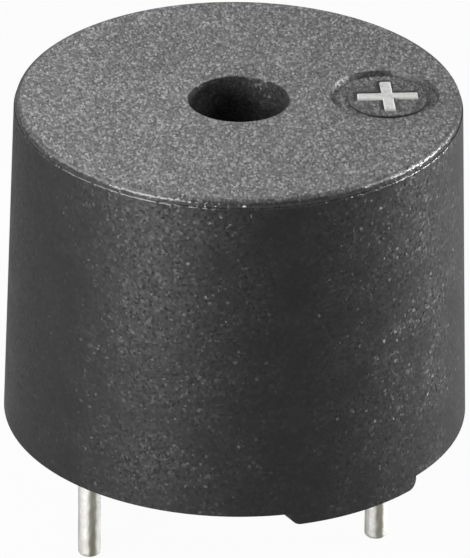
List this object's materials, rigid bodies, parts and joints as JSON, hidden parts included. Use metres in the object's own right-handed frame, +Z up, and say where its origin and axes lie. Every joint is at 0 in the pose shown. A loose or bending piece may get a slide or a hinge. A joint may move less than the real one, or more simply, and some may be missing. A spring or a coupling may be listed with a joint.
{
  "type": "electronic buzzer",
  "caption": "Round black through-hole magnetic buzzer with a sound hole in its top, a plus mark for polarity, tinned pins and its drive circuit sealed inside.",
  "frame": {"origin": "middle of the seating plane under the feet, half way between the pins", "axes": "+Z up along the case's axis, out of the sound hole; +X towards the positive pin and the plus mark"},
  "size_m": [0.012, 0.012, 0.0131],
  "materials": {
    "case_plastic": "spark-eroded grain on the top, fine satin on the side",
    "mark_paint": "matt marking paint",
    "spring_steel": "rolled",
    "ring_plastic": "moulded",
    "ferrite": "sintered",
    "enamelled_copper": "enamelled wire",
    "soft_iron": "plated",
    "board_laminate": "solder resist",
    "copper_foil": "etched",
    "chip_moulding": "moulded",
    "chip_ceramic": "fired",
    "tin": "solder-dipped",
    "resin": "poured"
  },
  "bodies": {
    "root": {"case": "case_plastic", "polarity_mark": "mark_paint", "diaphragm": "spring_steel", "vibrating_mass": "spring_steel", "support_ring": "ring_plastic", "ring_magnet": "ferrite", "drive_winding": "enamelled_copper", "feedback_winding": "enamelled_copper", "pole_core": "soft_iron", "yoke_plate": "soft_iron", "driver_board": "board_laminate", "board_copper": "copper_foil", "transistor_body": "chip_moulding", "transistor_legs": "tin", "resistor_body": "chip_ceramic", "resistor_caps": "tin", "positive_pin": "tin", "negative_pin": "tin", "solder_joints": "tin", "sealing_resin": "resin"}
  },
  "joints": []
}
